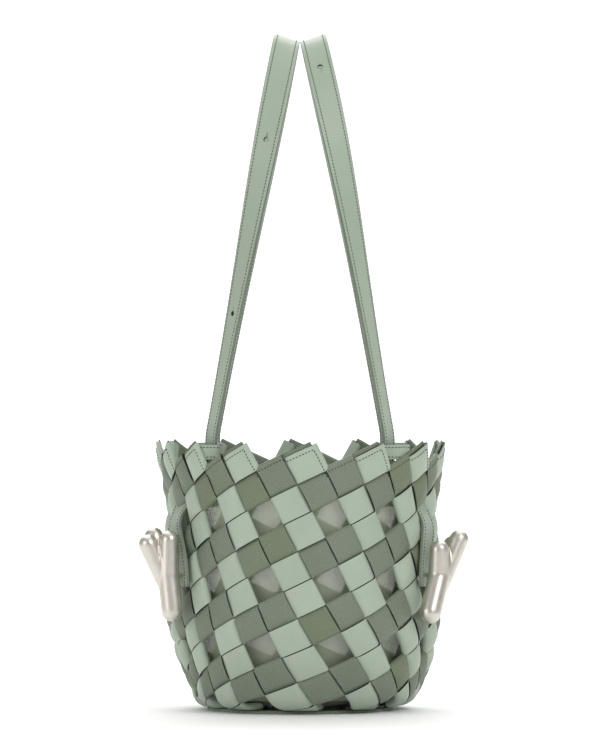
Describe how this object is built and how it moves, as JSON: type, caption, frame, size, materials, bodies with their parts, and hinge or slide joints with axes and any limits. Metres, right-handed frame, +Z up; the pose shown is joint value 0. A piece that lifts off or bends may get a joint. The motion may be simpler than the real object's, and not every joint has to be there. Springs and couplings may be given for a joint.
{
  "type": "woven leather bucket bag",
  "caption": "Open-topped round bag woven from slanted leather strips, with a zigzag rim, translucent inner pouch, shoulder straps through keepers and forked metal toggles.",
  "frame": {"origin": "under the middle of the base, where the bag stands", "axes": "+Z up, the front faces -Y, straps to left and right along X"},
  "size_m": [0.238, 0.21, 0.5039],
  "materials": {
    "woven_leather": "satin, light and dark green strips",
    "base_leather": "cross-grained, satin",
    "base_board": "matte",
    "pouch_film": "sheer, frosted",
    "strap_leather": "smooth, satin",
    "strap_lining": "matte",
    "toggle_metal": "satin, pale champagne",
    "post_metal": "polished, pale"
  },
  "bodies": {
    "bag": {"weave_panel_01": "woven_leather", "weave_panel_02": "woven_leather", "weave_panel_03": "woven_leather", "weave_panel_04": "woven_leather", "weave_panel_05": "woven_leather", "weave_panel_06": "woven_leather", "weave_panel_07": "woven_leather", "weave_panel_08": "woven_leather", "weave_panel_09": "woven_leather", "weave_panel_10": "woven_leather", "weave_panel_11": "woven_leather", "weave_panel_12": "woven_leather", "weave_panel_13": "woven_leather", "weave_panel_14": "woven_leather", "base_panel": "base_leather", "base_board": "base_board", "inner_pouch": "pouch_film", "left_front_keeper": "strap_leather", "left_back_keeper": "strap_leather", "right_front_keeper": "strap_leather", "right_back_keeper": "strap_leather", "left_strap_back_end": "strap_leather", "right_strap_back_end": "strap_leather", "left_strap_tail": "strap_leather", "right_strap_tail": "strap_leather", "left_toggle_post": "post_metal", "right_toggle_post": "post_metal"},
    "left_strap": {"left_strap": "strap_leather", "left_strap_lining": "strap_lining"},
    "right_strap": {"right_strap": "strap_leather", "right_strap_lining": "strap_lining"},
    "left_toggle": {"left_toggle": "toggle_metal"},
    "right_toggle": {"right_toggle": "toggle_metal"}
  },
  "joints": [
    {"name": "left_strap_swing", "type": "hinge", "parent": "bag", "child": "left_strap", "pos_m": [-0.06583, 0, 0.204], "axis": [0, -1, 0], "range_deg": [0, 100]},
    {"name": "right_strap_swing", "type": "hinge", "parent": "bag", "child": "right_strap", "pos_m": [0.06583, 0, 0.204], "axis": [0, 1, 0], "range_deg": [0, 100]},
    {"name": "left_toggle_turn", "type": "hinge", "parent": "bag", "child": "left_toggle", "pos_m": [-0.08409, -0.05456, 0.102], "axis": [-0.8177, -0.5757, 0], "range_deg": [-75, 75]},
    {"name": "right_toggle_turn", "type": "hinge", "parent": "bag", "child": "right_toggle", "pos_m": [0.0891, -0.04668, 0.102], "axis": [0.8694, -0.4942, 0], "range_deg": [-75, 75]}
  ]
}
